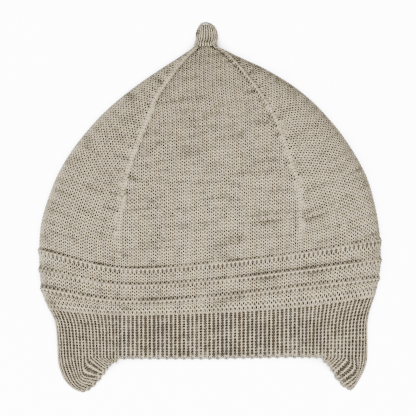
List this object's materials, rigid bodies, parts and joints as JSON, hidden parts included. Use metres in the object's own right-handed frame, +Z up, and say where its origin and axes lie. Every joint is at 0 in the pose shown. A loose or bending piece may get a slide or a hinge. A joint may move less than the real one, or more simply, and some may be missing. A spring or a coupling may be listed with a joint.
{
  "type": "baby bonnet",
  "caption": "Fine-knit baby bonnet lying flat: domed crown narrowing to a short knitted stem, purl ridges round the band, ribbed brim and two small ear flaps.",
  "frame": {"origin": "on the surface the bonnet lies on, under the middle of its bounding box", "axes": "+Z up out of the surface, +Y towards the knitted stem, +X to the right when the front layer is seen from above"},
  "size_m": [0.1726, 0.185, 0.0299],
  "materials": {
    "plain_knit": "fine stocking stitch in a soft beige melange yarn, matt",
    "ridge_knit": "stocking stitch with raised purl ridges, matt",
    "rib_knit": "one by one ribbing in the same yarn, matt",
    "flap_knit": "ribbing shaped with short rows, matt",
    "stem_knit": "small knitted cord in the same yarn, matt"
  },
  "bodies": {
    "root": {"crown": "plain_knit", "ridge_band": "ridge_knit", "rib_brim": "rib_knit", "ear_flap_left": "flap_knit", "ear_flap_right": "flap_knit", "top_stem": "stem_knit"}
  },
  "joints": []
}
